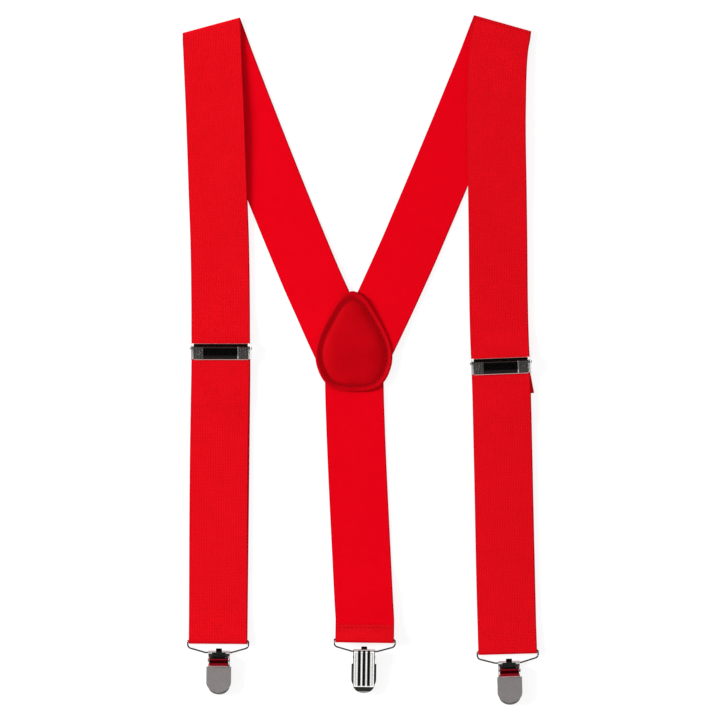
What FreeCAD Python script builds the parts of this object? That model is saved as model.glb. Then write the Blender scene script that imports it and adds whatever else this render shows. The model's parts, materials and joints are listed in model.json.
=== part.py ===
import FreeCAD, Part
import math
import os

V = FreeCAD.Vector

# ---------------------------------------------------------------- dimensions (mm)
# webbing
WEB_W = 34.8                # width of the elastic webbing
WEB_T = 1.1                 # thickness of the webbing
LOOP_R = 0.9                # inner radius of the webbing loop round a bail
LOOP_Z = LOOP_R + WEB_T     # height of a bail axis above the table
FOLD_R = 0.3                # inner radius of the shoulder fold
BAR_LOOP_R = 0.5            # inner radius of the sewn loop round the adjuster bar
CREASE_W = 35.6             # webbing width measured along the slanted crease

# wire bail
WIRE_R = 0.5
BAIL_HALF = 18.0
BAIL_SHOULDER = 4.2
BAIL_LEN = 7.1
BAIL_BAR_HALF = 7.6

# clip
SHEET = 0.6                 # sheet metal thickness
HEM_R = 0.66                # inner radius of the rolled top of the base plate
HEM_C = SHEET + HEM_R       # distance of the hem axis from the back and the top edge
BASE_HALF = 6.4
BASE_LEN = 26.2
JAW_HALF = 7.35
JAW_TOP = 9.4
JAW_LEN = 24.6
END_DEPTH = 0.82           # depth of the oval lower ends, as a share of the half width
JAW_Z0 = 2.8
JAW_Z1 = 5.2
NECK_R = HEM_C + 0.65       # outer radius of the jaw saddle, measured from the hem axis
PIN_Y = -5.6
PIN_Z = 5.2
PIN_R = 0.75
EAR_X0 = 5.7
EAR_X1 = 6.2
LEVER_HALF = 5.5
CAM = 1.28                  # distance of the cam nose from the lever pin

# adjuster
ADJ_HALF = 17.5             # inner half width between the ears
ADJ_EAR = 0.5
ADJ_H = 4.9                 # half height
ADJ_PLATE_HALF = 16.0       # half width of the cover plate
ADJ_PIVOT_Y = 1.9
ADJ_PIVOT_Z = 5.65
ADJ_BAR_Y = -1.5
ADJ_BAR_Z = BAR_LOOP_R + WEB_T
ADJ_PIN_R = 0.6

# back patch outline: height above the patch origin and half width
PATCH = [(39.4, 4.0), (35.6, 8.5), (28.2, 13.2), (20.8, 17.3), (13.3, 20.8), (5.9, 22.7),
         (-1.5, 22.6), (-8.9, 20.2), (-14.1, 16.6), (-17.6, 10.8)]
PATCH_TOP = 40.9
PATCH_BOTTOM = -18.8
PATCH_X = -3.6
PATCH_LEAN = -0.018          # sideways lean of the teardrop
LEATHER = 0.9

# where things lie on the table: x, y of the axis and tilt in degrees
CREASE = {"left": (-88.0, 197.4, 15.2), "right": (84.3, 198.6, -15.8)}
END_LOOP = {"left": (-84.2, -166.5, -0.4), "right": (87.6, -172.6, 1.6), "centre": (2.75, -165.6, -0.8)}
ADJUSTER = {"left": (-82.5, 5.0, 0.0), "right": (83.5, -3.5, 2.2)}
CLIP_SHIFT = {"left": 0.6, "right": 0.6, "centre": 0.2}
TAIL_SHIFT = {"left": 0.0, "right": 1.9}
CENTRE_END_Z = 3.2          # lift of the centre strap end above the table
CENTRE_BAIL_TILT = 13.0
CENTRE_CLIP_TILT = 6.9

shapes = {}


# ---------------------------------------------------------------- helpers
def box(x0, x1, y0, y1, z0, z1):
    return Part.makeBox(x1 - x0, y1 - y0, z1 - z0, V(x0, y0, z0))


def xcyl(radius, x0, x1, y, z):
    return Part.makeCylinder(radius, x1 - x0, V(x0, y, z), V(1, 0, 0))


def place(shape, x, y, tilt, z=0.0):
    moved = shape.copy()
    moved.rotate(V(0, 0, 0), V(0, 0, 1), tilt)
    moved.translate(V(x, y, z))
    return moved


def prism_x(points, x0, x1):
    """Solid with a (y, z) polygon as its section, running along x."""
    wire = Part.makePolygon([V(x0, y, z) for y, z in points + points[:1]])
    return Part.Face(wire).extrude(V(x1 - x0, 0, 0))


def ribbon(stations):
    """Flat webbing through stations (x, y, underside z, tilt, width)."""
    wires = []
    for x, y, z, tilt, width in stations:
        a = math.radians(tilt)
        dx = math.cos(a) * width / 2
        dy = math.sin(a) * width / 2
        corners = [V(x - dx, y - dy, z), V(x + dx, y + dy, z),
                   V(x + dx, y + dy, z + WEB_T), V(x - dx, y - dy, z + WEB_T)]
        wires.append(Part.makePolygon(corners + corners[:1]))
    return Part.makeLoft(wires, True, True)


def u_turn(inner, width, y, z, towards):
    """Half ring of webbing round an x axis; towards is -1 or +1 along y."""
    ring = xcyl(inner + WEB_T, -width / 2, width / 2, y, z)
    ring = ring.cut(xcyl(inner, -width / 2, width / 2, y, z))
    big = 4 * (inner + WEB_T)
    low = min(0.0, towards * big)
    keep = box(-width, width, y + low, y + low + big, z - big, z + big)
    return ring.common(keep)


def u_plate(half, top, length, z0, z1):
    """Plate with straight sides and a half oval lower end."""
    side = length - END_DEPTH * half
    body = box(-half, half, -side, -top, z0, z1)
    oval = Part.Ellipse(V(half, -side, z0), V(0, END_DEPTH * half - side, z0), V(0, -side, z0))
    disc = Part.Face(Part.Wire(oval.toShape())).extrude(V(0, 0, z1 - z0))
    disc = disc.common(box(-half, half, -length, -side, z0, z1))
    return body.fuse(disc).removeSplitter()


def wire_ring(corners, radii, radius):
    """Closed bent wire in the plane z = 0 through corners, each bend with its own radius."""
    count = len(corners)
    lines = []
    bends = []
    for i in range(count):
        p = V(*corners[i], 0)
        to_prev = (V(*corners[i - 1], 0) - p).normalize()
        to_next = (V(*corners[(i + 1) % count], 0) - p).normalize()
        half = math.acos(max(-1, min(1, to_prev.dot(to_next)))) / 2
        cut = radii[i] / math.tan(half)
        start = p + to_prev * cut
        end = p + to_next * cut
        centre = p + (to_prev + to_next).normalize() * (radii[i] / math.sin(half))
        turn = math.degrees(math.pi - 2 * half)
        axis = (start - centre).cross(end - centre).normalize()
        face = Part.Face(Part.Wire(Part.makeCircle(radius, start, to_prev)))
        bends.append(face.revolve(centre, axis, turn))
        lines.append((start, end))
    solids = list(bends)
    for i in range(count):
        a = lines[i][1]
        b = lines[(i + 1) % count][0]
        solids.append(Part.makeCylinder(radius, (b - a).Length, a, b - a))
    return solids[0].multiFuse(solids[1:]).removeSplitter()


def patch_face(inset, z):
    """Teardrop face, made smaller all round by inset."""
    points = [V(0, PATCH_TOP, 0)] + [V(w, y, 0) for y, w in PATCH] + [V(0, PATCH_BOTTOM, 0)]
    points += [V(-w, y, 0) for y, w in reversed(PATCH)]
    points = [V(p.x + PATCH_LEAN * p.y, p.y, 0) for p in points]
    curve = Part.BSplineCurve()
    curve.interpolate(points, PeriodicFlag=True)
    wire = Part.Wire(curve.toShape())
    if inset:
        middle = (PATCH_TOP + PATCH_BOTTOM) / 2
        scale = FreeCAD.Matrix()
        scale.move(V(0, -middle, 0))
        sx = 1 - inset / 22.7
        sy = 1 - inset / ((PATCH_TOP - PATCH_BOTTOM) / 2)
        scale.scale(V(sx, sy, 1))
        scale.move(V(0, middle, 0))
        moved = [scale.multiply(p) for p in points]
        curve = Part.BSplineCurve()
        curve.interpolate(moved, PeriodicFlag=True)
        wire = Part.Wire(curve.toShape())
    wire.translate(V(PATCH_X, 0, z))
    return Part.Face(wire)


# ---------------------------------------------------------------- webbing
def back_straps():
    left = [(-88.0, 197.4, 0, 15.2, CREASE_W), (-79.4, 175.0, 0, 21.0, WEB_W), (-43.2, 83.0, 0, 21.8, WEB_W),
            (-35.8, 65.0, 0.4, 22.5, WEB_W), (-27.8, 46.0, 1.0, 23.8, WEB_W), (-22.4, 34.0, 1.0, 24.5, WEB_W),
            (-15.3, 18.0, 2.05, 25.2, WEB_W), (-3.4, -7.0, 2.05, 25.5, WEB_W)]
    right = [(84.3, 198.6, 0, -15.8, CREASE_W), (74.8, 175.0, 0, -21.8, WEB_W), (36.6, 83.0, 0, -22.8, WEB_W),
             (28.9, 65.0, 0.4, -23.4, WEB_W), (20.3, 46.0, 1.0, -24.3, WEB_W), (14.8, 34.0, 1.0, -25.0, WEB_W),
             (7.2, 18.0, 2.05, -25.4, WEB_W), (-5.0, -7.5, 2.05, -25.6, WEB_W)]
    lower = box(-60, 60, -60, -8, 0, 6)
    left_side = box(-200, PATCH_X - 0.1, -60, 260, -1, 6)
    right_side = box(PATCH_X + 0.1, 200, -60, 260, -1, 6)
    shapes["back_strap_left"] = ribbon(left).cut(lower).common(left_side)
    shapes["back_strap_right"] = ribbon(right).cut(lower).common(right_side)


def shoulder_fold(side):
    x, y, tilt = CREASE[side]
    fold = u_turn(FOLD_R, CREASE_W, 0, FOLD_R + WEB_T, 1)
    shapes["shoulder_fold_" + side] = place(fold, x, y, tilt)


def front_strap(side):
    """From the fold down over the back strap, through the adjuster, to the end loop."""
    z_fold = 2 * FOLD_R + WEB_T
    if side == "left":
        upper = [(-88.0, 197.4, z_fold, 15.2, CREASE_W), (-87.5, 183.0, z_fold, 2.4, WEB_W),
                 (-86.0, 150.0, z_fold, 2.0, WEB_W), (-84.0, 92.0, z_fold, 1.2, WEB_W),
                 (-83.3, 72.0, 0.05, 0.8, WEB_W), (-82.7, 30.0, 0.05, 0.0, WEB_W),
                 (-82.6, 14.0, 3.3, 0.0, WEB_W), (-82.5, 5.0, 3.35, 0.0, WEB_W)]
        lower = [(-82.5, 5.0, 3.35, 0.0, WEB_W), (-82.6, -1.0, 3.35, 0.0, WEB_W),
                 (-82.7, -8.0, 2.5, -0.2, WEB_W), (-82.95, -22.0, 2.45, -0.3, WEB_W),
                 (-83.2, -34.0, 1.3, -0.4, WEB_W), (-84.1, -148.0, 1.3, -0.4, WEB_W),
                 (-84.13, -156.5, 2.0, -0.4, WEB_W)]
    else:
        upper = [(84.3, 198.6, z_fold, -15.8, CREASE_W), (82.4, 184.0, z_fold, -2.0, WEB_W),
                 (81.0, 150.0, z_fold, 0.0, WEB_W), (81.5, 100.0, z_fold, 0.5, WEB_W),
                 (81.8, 80.0, 0.05, 0.8, WEB_W), (82.5, 22.0, 0.05, 1.4, WEB_W),
                 (83.0, 6.0, 3.3, 2.0, WEB_W), (83.5, -3.5, 3.35, 2.2, WEB_W)]
        lower = [(83.5, -3.5, 3.35, 2.2, WEB_W), (83.7, -9.6, 3.35, 2.2, WEB_W),
                 (83.9, -16.6, 2.5, 2.0, WEB_W), (84.3, -30.6, 2.45, 1.6, WEB_W),
                 (84.6, -42.6, 1.3, 1.4, WEB_W), (87.05, -154.0, 1.3, 1.6, WEB_W),
                 (87.32, -162.6, 2.0, 1.6, WEB_W)]
    shapes["front_strap_upper_" + side] = ribbon(upper)
    shapes["front_strap_lower_" + side] = ribbon(lower)


def end_loop(side):
    """Webbing turned back round the bail of a front clip."""
    x, y, tilt = END_LOOP[side]
    turn = u_turn(LOOP_R, WEB_W, 0, LOOP_Z, -1)
    front = ribbon([(0, 0, LOOP_Z + LOOP_R, 0, WEB_W), (0, 3.0, 2.7, 0, WEB_W), (0, 10.0, 2.0, 0, WEB_W)])
    rear = ribbon([(0, 0, 0, 0, WEB_W), (0, 10.0, 0, 0, WEB_W)])
    loop = turn.multiFuse([front, rear]).removeSplitter()
    shapes["strap_end_loop_" + side] = place(loop, x, y, tilt)


def return_layer(side):
    """Second layer of webbing behind the front strap."""
    x0, y0, tilt0 = END_LOOP[side]
    x1, y1, tilt1 = ADJUSTER[side]
    a0 = math.radians(tilt0)
    a1 = math.radians(tilt1)
    start = (x0 - 10.0 * math.sin(a0), y0 + 10.0 * math.cos(a0), 0, tilt0, WEB_W)
    end = (x1 + 14.0 * math.sin(a1), y1 - 14.0 * math.cos(a1), 0, tilt1, WEB_W)
    shapes["return_layer_" + side] = ribbon([start, end])


def sewn_tail(side):
    """End of the webbing, turned round the rear bar of the adjuster and sewn down."""
    x, y, tilt = ADJUSTER[side]
    shift = TAIL_SHIFT[side]
    turn = u_turn(BAR_LOOP_R, WEB_W, ADJ_BAR_Y, ADJ_BAR_Z, 1)
    rear = ribbon([(0, ADJ_BAR_Y, 0, 0, WEB_W), (0, -14.0, 0, 0, WEB_W)])
    z_top = ADJ_BAR_Z + BAR_LOOP_R
    lean = 3.0 * shift
    tail = ribbon([(0, ADJ_BAR_Y, z_top, 0, WEB_W), (0, -5.0, 1.7, 0, WEB_W),
                   (0.3 * shift, -9.0, 1.2, 0.6 * lean, WEB_W), (shift, -18.5, 1.15, lean, WEB_W)])
    shapes["sewn_tail_" + side] = place(turn.multiFuse([rear, tail]).removeSplitter(), x, y, tilt)
    threads = []
    for row in (-10.5, -12.5):
        for i in range(11):
            cx = -15.9 + 3.0 * i + 0.5 * shift
            threads.append(box(cx, cx + 1.9, row - 0.15, row + 0.15, 2.36, 2.46))
    shapes["tail_stitching_" + side] = place(Part.makeCompound(threads), x, y, tilt)


def centre_strap():
    x, y, tilt = END_LOOP["centre"]
    z = CENTRE_END_Z
    strap = ribbon([(-3.6, 12.0, 0.93, 2.2, WEB_W), (-3.2, -22.0, 0.93, 2.4, WEB_W), (-2.6, -40.0, 0, 2.4, WEB_W),
                    (1.0, -118.0, 0, 2.2, WEB_W), (2.1, -143.6, z, 0.6, WEB_W), (2.6, -153.6, z, -0.8, WEB_W)])
    shapes["centre_strap"] = strap
    turn = u_turn(LOOP_R, WEB_W, 0, LOOP_Z, -1)
    under = ribbon([(0, 0, 0, 0, WEB_W), (0, 12.0, 0, 0, WEB_W)])
    over = ribbon([(0, 0, LOOP_Z + LOOP_R, 0, WEB_W), (0, 2.0, 2.6, 0, WEB_W), (0, 5.5, 1.2, 0, WEB_W),
                   (0, 9.0, 1.2, 0, WEB_W)])
    hem = turn.multiFuse([under, over]).removeSplitter()
    shapes["centre_strap_hem"] = place(hem, x, y, tilt, z)
    threads = [box(-15.5 + 2.6 * i, -13.9 + 2.6 * i, 6.7, 7.05, 2.31, 2.46) for i in range(12)]
    shapes["centre_hem_stitching"] = place(Part.makeCompound(threads), x, y, tilt, z)


# ---------------------------------------------------------------- back patch
def back_patch():
    z0 = 3.2
    outer = patch_face(0, 0).extrude(V(0, 0, LEATHER))
    shapes["patch_outer"] = outer
    rim = patch_face(0, z0).extrude(V(0, 0, LEATHER))
    dome = Part.makeLoft([patch_face(5.0, z0 + LEATHER).OuterWire, patch_face(7.5, z0 + 1.7).OuterWire,
                          patch_face(12.0, z0 + 2.2).OuterWire], True, True)
    pad = Part.makeLoft([patch_face(6.0, z0).OuterWire, patch_face(7.2, z0 + LEATHER).OuterWire,
                         patch_face(12.5, z0 + 1.4).OuterWire], True, True)
    shapes["patch_padding"] = pad
    shapes["patch_inner"] = rim.fuse(dome).cut(pad)
    ring = patch_face(2.6, z0 + LEATHER).extrude(V(0, 0, 0.25))
    ring = ring.cut(patch_face(3.3, z0 + LEATHER - 1).extrude(V(0, 0, 3)))
    shapes["patch_stitching"] = ring


# ---------------------------------------------------------------- adjuster
def adjuster_frame():
    parts = []
    for sign in (-1, 1):
        low = min(sign * ADJ_HALF, sign * (ADJ_HALF + ADJ_EAR))
        ear = box(low, low + ADJ_EAR, -ADJ_H + 0.3, ADJ_H, 0.9, 6.3)
        edges = [e for e in ear.Edges if abs(e.BoundBox.XLength - ADJ_EAR) < 1e-6]
        ear = ear.makeFillet(1.3, edges)
        parts.append(ear)
        inner = sign * (ADJ_PLATE_HALF + 0.25)
        outer = sign * (ADJ_HALF + 0.1)
        parts.append(box(min(inner, outer), max(inner, outer), -4.5, 3.2, 4.6, 5.0))
    parts.append(xcyl(0.42, -ADJ_HALF, ADJ_HALF, ADJ_BAR_Y, ADJ_BAR_Z))
    parts.append(box(-ADJ_HALF, ADJ_HALF, 1.5, 4.3, 2.3, 3.1))
    top_bar = [(3.05, 4.8), (3.05, 5.9), (3.35, 6.2), (4.4, 6.2), (4.8, 5.8), (4.8, 4.8)]
    parts.append(prism_x(top_bar, -ADJ_HALF, ADJ_HALF))
    frame = parts[0].multiFuse(parts[1:])
    hole = xcyl(ADJ_PIN_R + 0.03, -30, 30, ADJ_PIVOT_Y, ADJ_PIVOT_Z)
    return frame.cut(hole).removeSplitter()


def adjuster_cover():
    """Toothed cover plate: round edge on the pivot, smooth centre panel, knurled ends."""
    profile = [(-4.9, 5.0), (-4.95, 5.6), (-4.3, 6.05), (-2.5, 6.35), (0.0, 6.5), (1.9, 6.6),
               (1.9, 5.6), (0.9, 5.55), (-2.5, 5.55), (-4.1, 5.35), (-4.4, 5.0)]
    plate = prism_x(profile, -ADJ_PLATE_HALF, ADJ_PLATE_HALF)
    barrel = xcyl(0.95, -ADJ_PLATE_HALF, ADJ_PLATE_HALF, ADJ_PIVOT_Y, ADJ_PIVOT_Z)
    plate = plate.fuse(barrel)
    teeth = []
    for i in range(12):
        x = -15.2 + 2.67 * i
        wedge = Part.makePolygon([V(x, 1.0, 4.75), V(x, 0.2, 5.6), V(x, 1.2, 5.6), V(x, 1.0, 4.75)])
        teeth.append(Part.Face(wedge).extrude(V(1.0, 0, 0)))
    plate = plate.multiFuse(teeth)
    cuts = []
    for sign in (-1, 1):
        for i in range(6):
            x = sign * (11.2 + 0.85 * i)
            cuts.append(box(x - 0.16, x + 0.16, -4.2, 1.2, 6.33, 7.0))
    bore = xcyl(ADJ_PIN_R + 0.06, -30, 30, ADJ_PIVOT_Y, ADJ_PIVOT_Z)
    return plate.cut(Part.makeCompound(cuts)).cut(bore)


def adjuster_pins():
    pins = []
    for sign in (-1, 1):
        pin = xcyl(ADJ_PIN_R, 14.0, ADJ_HALF + ADJ_EAR, ADJ_PIVOT_Y, ADJ_PIVOT_Z)
        head = xcyl(0.9, ADJ_HALF + ADJ_EAR, ADJ_HALF + ADJ_EAR + 0.35, ADJ_PIVOT_Y, ADJ_PIVOT_Z)
        pin = pin.fuse(head)
        if sign < 0:
            pin = pin.mirror(V(0, 0, 0), V(1, 0, 0))
        pins.append(pin)
    return Part.makeCompound(pins)


def adjuster(side):
    x, y, tilt = ADJUSTER[side]
    shapes["adjuster_frame_" + side] = place(adjuster_frame(), x, y, tilt)
    shapes["adjuster_cover_" + side] = place(adjuster_cover(), x, y, tilt)
    shapes["adjuster_pins_" + side] = place(adjuster_pins(), x, y, tilt)


# ---------------------------------------------------------------- clip
def bail():
    corners = [(-BAIL_HALF, 0), (BAIL_HALF, 0), (BAIL_HALF, -BAIL_SHOULDER), (BAIL_BAR_HALF, -BAIL_LEN),
               (-BAIL_BAR_HALF, -BAIL_LEN), (-BAIL_HALF, -BAIL_SHOULDER)]
    return wire_ring(corners, [0.9, 0.9, 2.4, 2.0, 2.0, 2.4], WIRE_R)


def clip_base():
    plate = u_plate(BASE_HALF, HEM_C, BASE_LEN, 0, SHEET)
    lip = u_plate(BASE_HALF, HEM_C, BASE_LEN, SHEET, 1.15)
    lip = lip.cut(u_plate(BASE_HALF - 0.6, 0, BASE_LEN - 0.6, 0, 2))
    lip = lip.common(box(-9, 9, -30, -(BASE_LEN - END_DEPTH * BASE_HALF), 0, 3))
    ribs = []
    for x in (-4.2, -1.4, 1.4, 4.2):
        rib = Part.makeCylinder(1.6, 19.7, V(x, -2.0, 0.9), V(0, -1, 0))
        ribs.append(rib.common(box(-9, 9, -30, 0, -1, 0.01)))
    hem = xcyl(HEM_C, -BASE_HALF, BASE_HALF, -HEM_C, HEM_C).cut(xcyl(HEM_R, -9, 9, -HEM_C, HEM_C))
    hem = hem.cut(box(-9, 9, -4, -HEM_C - 0.55, SHEET, 4))
    ears = []
    for x0, x1 in ((-EAR_X1, -EAR_X0), (EAR_X0, EAR_X1)):
        ear = box(x0, x1, -8.5, -3.0, 0, 6.6)
        edges = [e for e in ear.Edges if abs(e.BoundBox.XLength - (x1 - x0)) < 1e-6 and e.BoundBox.ZMin > 6]
        ears.append(ear.makeFillet(2.2, edges))
    base = plate.multiFuse([lip, hem] + ribs + ears)
    return base.cut(xcyl(PIN_R + 0.03, -9, 9, PIN_Y, PIN_Z)).removeSplitter()


def clip_jaw():
    cup = u_plate(JAW_HALF, JAW_TOP, JAW_LEN, JAW_Z0, JAW_Z1)
    cup = cup.cut(u_plate(JAW_HALF - SHEET, JAW_TOP + SHEET, JAW_LEN - SHEET, JAW_Z0 - 1, JAW_Z1 - SHEET))
    z0 = HEM_C + NECK_R - SHEET
    neck = box(-4.0, 4.0, -JAW_TOP - SHEET, -HEM_C, z0, z0 + SHEET)
    tongue = box(-1.75, 1.75, -HEM_C, 1.3, z0, z0 + SHEET)
    saddle = xcyl(NECK_R, -1.75, 1.75, -HEM_C, HEM_C).cut(xcyl(NECK_R - SHEET, -3, 3, -HEM_C, HEM_C))
    saddle = saddle.common(box(-3, 3, -HEM_C, 2, HEM_C - 0.3, 4))
    return cup.multiFuse([neck, tongue, saddle]).removeSplitter()


def clip_insert():
    """Plastic lining of the jaw with cross teeth."""
    gap = 0.05
    body = u_plate(JAW_HALF - SHEET - gap, JAW_TOP + SHEET + gap, JAW_LEN - SHEET - gap, 2.1, JAW_Z1 - SHEET - gap)
    body = body.cut(box(-4.1, 4.1, -JAW_TOP - SHEET - 0.6, -JAW_TOP, 2.0, 3.3))
    ridges = []
    for i in range(4):
        y = -12.0 - 2.6 * i
        ridges.append(prism_x([(y, 2.2), (y - 0.5, 1.35), (y - 1.0, 1.35), (y - 1.5, 2.2)], -5.6, 5.6))
    return body.multiFuse(ridges).removeSplitter()


def clip_lever():
    profile = [(PIN_Y + 0.2, 6.49), (-7.2, 6.55), (-9.2, 7.1), (-9.4, 6.65), (-7.4, 5.95), (-6.2, 5.2), (PIN_Y, 5.2)]
    lever = prism_x(profile, -LEVER_HALF, LEVER_HALF)
    barrel = xcyl(1.3, -LEVER_HALF, LEVER_HALF, PIN_Y, PIN_Z)
    nose = xcyl(0.6, -3.6, 3.6, PIN_Y, PIN_Z - CAM)
    web = box(-3.6, 3.6, PIN_Y - 0.6, PIN_Y + 0.6, PIN_Z - CAM, PIN_Z)
    lever = lever.multiFuse([barrel, nose, web])
    return lever.cut(xcyl(PIN_R + 0.05, -9, 9, PIN_Y, PIN_Z)).removeSplitter()


def clip_pin():
    pin = xcyl(PIN_R, -EAR_X1, EAR_X1, PIN_Y, PIN_Z)
    heads = [xcyl(1.05, -EAR_X1 - 0.4, -EAR_X1, PIN_Y, PIN_Z), xcyl(1.05, EAR_X1, EAR_X1 + 0.4, PIN_Y, PIN_Z)]
    return pin.multiFuse(heads).removeSplitter()


def clip_pose(shape, side, is_bail):
    """Move a piece from its own frame to its place on the table."""
    x, y, tilt = END_LOOP[side]
    piece = shape.copy()
    if is_bail:
        if side == "centre":
            piece.rotate(V(0, 0, 0), V(1, 0, 0), -CENTRE_BAIL_TILT)
        return place(piece, x, y, tilt, LOOP_Z + (CENTRE_END_Z if side == "centre" else 0))
    piece.translate(V(CLIP_SHIFT[side], HEM_C, -HEM_C))
    if side != "centre":
        piece.translate(V(0, -BAIL_LEN, 0))
        return place(piece, x, y, tilt, LOOP_Z)
    piece.rotate(V(0, 0, 0), V(0, 1, 0), 180)
    piece.rotate(V(0, 0, 0), V(1, 0, 0), CENTRE_CLIP_TILT)
    a = math.radians(CENTRE_BAIL_TILT)
    piece.translate(V(0, -BAIL_LEN * math.cos(a), BAIL_LEN * math.sin(a)))
    return place(piece, x, y, tilt, LOOP_Z + CENTRE_END_Z)


def clip(side):
    shapes["bail_" + side] = clip_pose(bail(), side, True)
    makers = {"clip_base": clip_base, "clip_jaw": clip_jaw, "clip_insert": clip_insert,
              "clip_lever": clip_lever, "clip_pin": clip_pin}
    for name, make in makers.items():
        shapes[name + "_" + side] = clip_pose(make(), side, False)


# ---------------------------------------------------------------- assembly
def build():
    back_straps()
    centre_strap()
    back_patch()
    for side in ("left", "right"):
        shoulder_fold(side)
        front_strap(side)
        end_loop(side)
        return_layer(side)
        sewn_tail(side)
        adjuster(side)
    for side in ("left", "right", "centre"):
        clip(side)


def offset():
    """Shift that puts the origin under the middle of the whole object, on the table."""
    total = FreeCAD.BoundBox()
    for shape in shapes.values():
        total.add(shape.optimalBoundingBox(False))
    return V(-total.Center.x, -total.Center.y, -total.ZMin)


build()
SHIFT = offset()
os.makedirs("parts", exist_ok=True)
for name, shape in shapes.items():
    shape.translate(SHIFT)
    shape.exportStep("parts/" + name + ".step")
    print(name, shape.isValid(), len(shape.Solids), round(shape.Volume, 2))
print("shift", tuple(round(v, 4) for v in SHIFT))
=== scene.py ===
import json
import math

import bmesh
import bpy
import numpy as np
from mathutils import Matrix, Vector, noise


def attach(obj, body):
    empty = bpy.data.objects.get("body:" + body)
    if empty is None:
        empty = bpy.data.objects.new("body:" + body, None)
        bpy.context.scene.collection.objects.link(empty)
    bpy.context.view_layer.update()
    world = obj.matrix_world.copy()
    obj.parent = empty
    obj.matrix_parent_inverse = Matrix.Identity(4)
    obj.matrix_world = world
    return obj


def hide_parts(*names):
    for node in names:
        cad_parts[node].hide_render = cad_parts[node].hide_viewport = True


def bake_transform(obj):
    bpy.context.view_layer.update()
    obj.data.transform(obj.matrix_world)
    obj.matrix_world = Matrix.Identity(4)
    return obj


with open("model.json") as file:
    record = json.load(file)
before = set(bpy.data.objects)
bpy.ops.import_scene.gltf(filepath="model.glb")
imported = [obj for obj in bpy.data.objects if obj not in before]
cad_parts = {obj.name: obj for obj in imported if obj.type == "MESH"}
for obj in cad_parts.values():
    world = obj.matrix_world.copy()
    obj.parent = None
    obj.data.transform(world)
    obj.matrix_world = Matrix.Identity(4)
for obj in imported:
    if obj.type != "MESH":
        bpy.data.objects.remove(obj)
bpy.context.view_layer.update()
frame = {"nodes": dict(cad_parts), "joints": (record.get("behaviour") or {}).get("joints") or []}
NODES = frame["nodes"]
JOINTS = {j["name"]: j for j in frame["joints"]}

MM = 0.001

# layout in mm on the table: places are (x, y, turn in degrees about z)
SIDES = ("left", "right")
WEB_T = 1.1                # thickness of the webbing
WEB_W = 34.8               # width of the webbing
CREASE_W = 35.6            # webbing width measured along the slanted shoulder crease
LOOP_R = 0.9               # inner radius of the webbing loop round a bail
LOOP_Z = 2.0               # height of a bail axis above the lowest face of its loop
FOLD_R = 0.3               # inner radius of the shoulder fold
BAR_R = 0.5                # inner radius of the sewn loop round the adjuster bar
LIFT = 3.2                 # height of the centre strap's end above the table
BAIL_LEN = 7.1             # from the bail's axis in the webbing to its axis in the clip
HEM_C = 1.26               # from the clip's rolled top to the back of its base plate
CENTRE_BAIL_TILT = 13.0
CENTRE_CLIP_TILT = 6.9
CREASE = {"left": (-88.0, 197.4, 15.2), "right": (84.3, 198.6, -15.8)}
END_LOOP = {"left": (-84.2, -166.5, -0.4), "right": (87.6, -172.6, 1.6), "centre": (2.75, -165.6, -0.8)}
ADJUSTER = {"left": (-82.5, 5.0, 0.0), "right": (83.5, -3.5, 2.2)}
CLIP_SHIFT = {"left": 0.6, "right": 0.6, "centre": 0.2}
TAIL_SHIFT = {"left": 0.0, "right": 1.9}    # sideways slip of the sewn tail
PATCH = [(39.4, 4.0), (35.6, 8.5), (28.2, 13.2), (20.8, 17.3), (13.3, 20.8), (5.9, 22.7),
         (-1.5, 22.6), (-8.9, 20.2), (-14.1, 16.6), (-17.6, 10.8)]    # (y, half width) of the teardrop
PATCH_TOP = 40.9
PATCH_BOTTOM = -18.8
PATCH_X = -3.6
PATCH_LEAN = -0.018        # sideways lean of the teardrop
PATCH_MIDDLE = 6.0         # y of the middle that the inner rings close in on
PATCH_HALF = 22.7          # its greatest half width

# the frame's own joint says where the layout lies
anchor = Vector(JOINTS["bail_left"]["pos_m"])
SHIFT = Vector((anchor.x - END_LOOP["left"][0] * MM, anchor.y - END_LOOP["left"][1] * MM, 0))


def lay(x, y, z):
    return Vector((x * MM, y * MM, z * MM)) + SHIFT


# ------------------------------------------------------------------ camera
FIELD = 0.427              # width seen, in metres, at the height of the webbing's upper face
FACE_Z = 0.0035
cam_data = bpy.data.cameras.new("camera")
cam_data.lens = 200
cam_data.sensor_width = 36
cam_data.clip_end = 20
camera = bpy.data.objects.new("camera", cam_data)
bpy.context.scene.collection.objects.link(camera)
camera.location = (SHIFT.x, SHIFT.y, FIELD * cam_data.lens / cam_data.sensor_width + FACE_Z)
bpy.context.scene.camera = camera


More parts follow.
